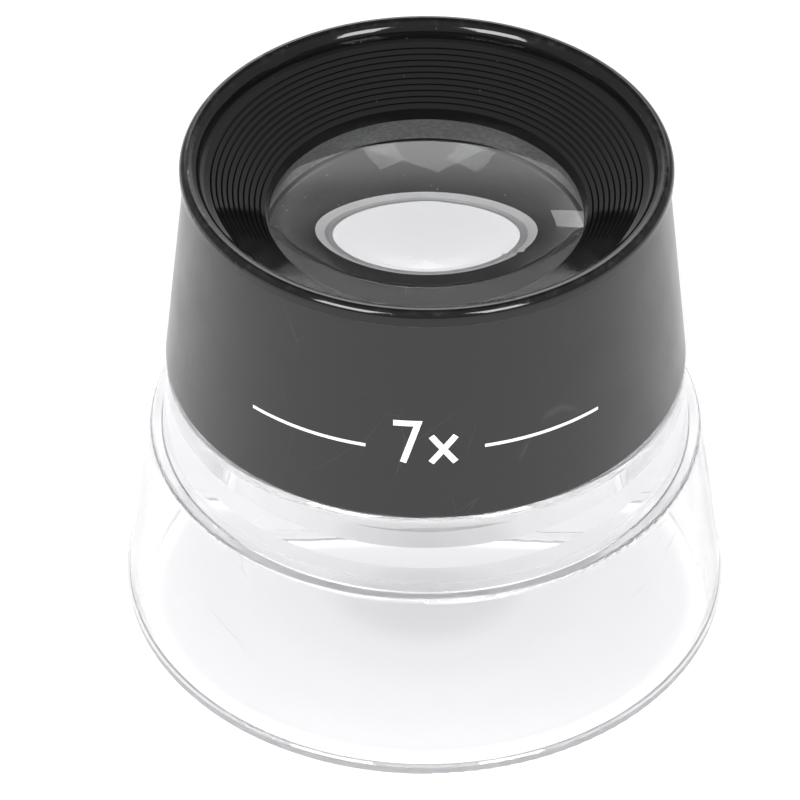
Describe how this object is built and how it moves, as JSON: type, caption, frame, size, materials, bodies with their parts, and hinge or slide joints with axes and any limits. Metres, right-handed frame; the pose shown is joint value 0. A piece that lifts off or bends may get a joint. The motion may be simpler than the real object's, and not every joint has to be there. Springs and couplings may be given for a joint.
{
  "type": "viewing loupe",
  "caption": "Free-standing viewing loupe: clear conical stand, satin black shell and a screw-in ribbed eyepiece round a flat-topped lens.",
  "frame": {"origin": "centre of the foot, on the surface the loupe stands on", "axes": "+Z along the optical axis, from the viewed surface towards the eye; the loupe is round about it"},
  "size_m": [0.05, 0.05, 0.043],
  "materials": {
    "clear_acrylic": "polished clear acrylic",
    "satin_black": "satin",
    "gloss_black": "gloss",
    "inner_black": "matt",
    "milky_white": "milky, lets some light through",
    "lens_glass": "polished"
  },
  "bodies": {
    "stand": {"clear_stand": "clear_acrylic"},
    "head": {"satin_shell": "satin_black", "lens_barrel": "inner_black", "glide_ring": "milky_white"},
    "optics": {"magnifier_lens": "lens_glass"},
    "eyepiece": {"eyepiece": "gloss_black", "lens_cell": "inner_black", "retaining_ring": "inner_black"}
  },
  "joints": [
    {"name": "head_lift", "type": "slide", "parent": "stand", "child": "head", "axis": [0, 0, 1], "range_m": [0, 0.01]},
    {"name": "eyepiece_rise", "type": "slide", "parent": "head", "child": "optics", "axis": [0, 0, 1], "range_m": [0, 0.0015]},
    {"name": "eyepiece_turn", "type": "hinge", "parent": "optics", "child": "eyepiece", "pos_m": [0, 0, 0.038], "axis": [0, 0, 1], "range_deg": [0, 360]}
  ],
  "couplings": [
    {"joint": "eyepiece_rise", "follows": "eyepiece_turn", "m_per_rad": 0.00023873}
  ]
}
